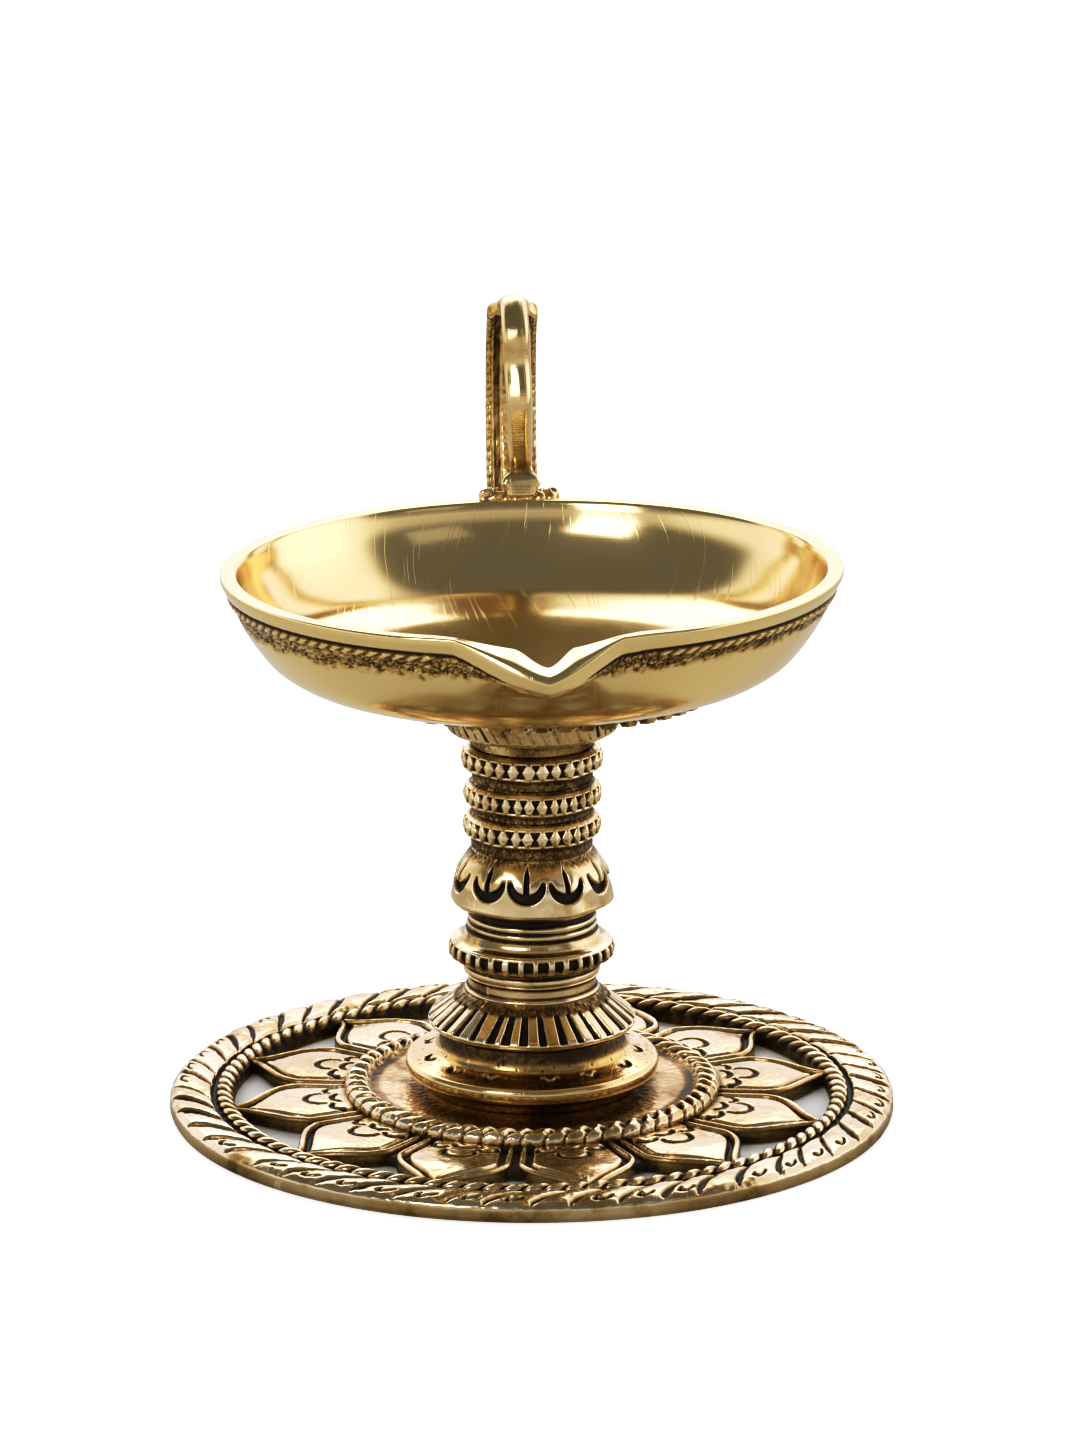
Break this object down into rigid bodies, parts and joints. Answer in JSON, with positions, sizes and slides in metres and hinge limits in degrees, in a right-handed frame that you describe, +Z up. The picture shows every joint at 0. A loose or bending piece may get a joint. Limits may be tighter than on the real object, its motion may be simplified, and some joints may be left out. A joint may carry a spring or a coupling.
{
  "type": "diya oil lamp",
  "caption": "Cast brass oil lamp: pierced lotus plate, turned and carved stem, and a shallow bowl with a pinched wick spout and a finger loop.",
  "frame": {"origin": "centre of the plate's flat underside, where the lamp stands", "axes": "+Z up along the stem, -Y towards the spout, +Y towards the finger loop, +X to the right seen from the spout"},
  "size_m": [0.1, 0.1115, 0.104],
  "materials": {
    "antique_brass": "cast brass with dark patina in the recesses and buffed high points",
    "polished_brass": "turned and polished bright, with fine scratches",
    "screw_brass": "plain turned brass"
  },
  "bodies": {
    "plate": {"base_plate": "antique_brass"},
    "stem": {"foot": "antique_brass", "fluted_skirt": "antique_brass", "beaded_collar": "antique_brass", "lotus_bell": "antique_brass", "ring_lower": "antique_brass", "ring_middle": "antique_brass", "ring_upper": "antique_brass", "top_cup": "antique_brass"},
    "bowl": {"bowl": "polished_brass", "handle": "antique_brass"},
    "screw": {"tie_screw": "screw_brass"}
  },
  "joints": [
    {"name": "stem_turn", "type": "hinge", "parent": "plate", "child": "stem", "pos_m": [0, 0, 0.0032], "axis": [0, 0, 1], "continuous": true},
    {"name": "screw_turn", "type": "hinge", "parent": "stem", "child": "screw", "pos_m": [0, 0, 0.0004], "axis": [0, 0, -1], "range_deg": [0, 2880]},
    {"name": "bowl_lift", "type": "slide", "parent": "stem", "child": "bowl", "axis": [0, 0, 1], "range_m": [0, 0.0064]}
  ],
  "couplings": [
    {"joint": "screw_turn", "follows": "bowl_lift", "rad_per_m": 7854}
  ]
}
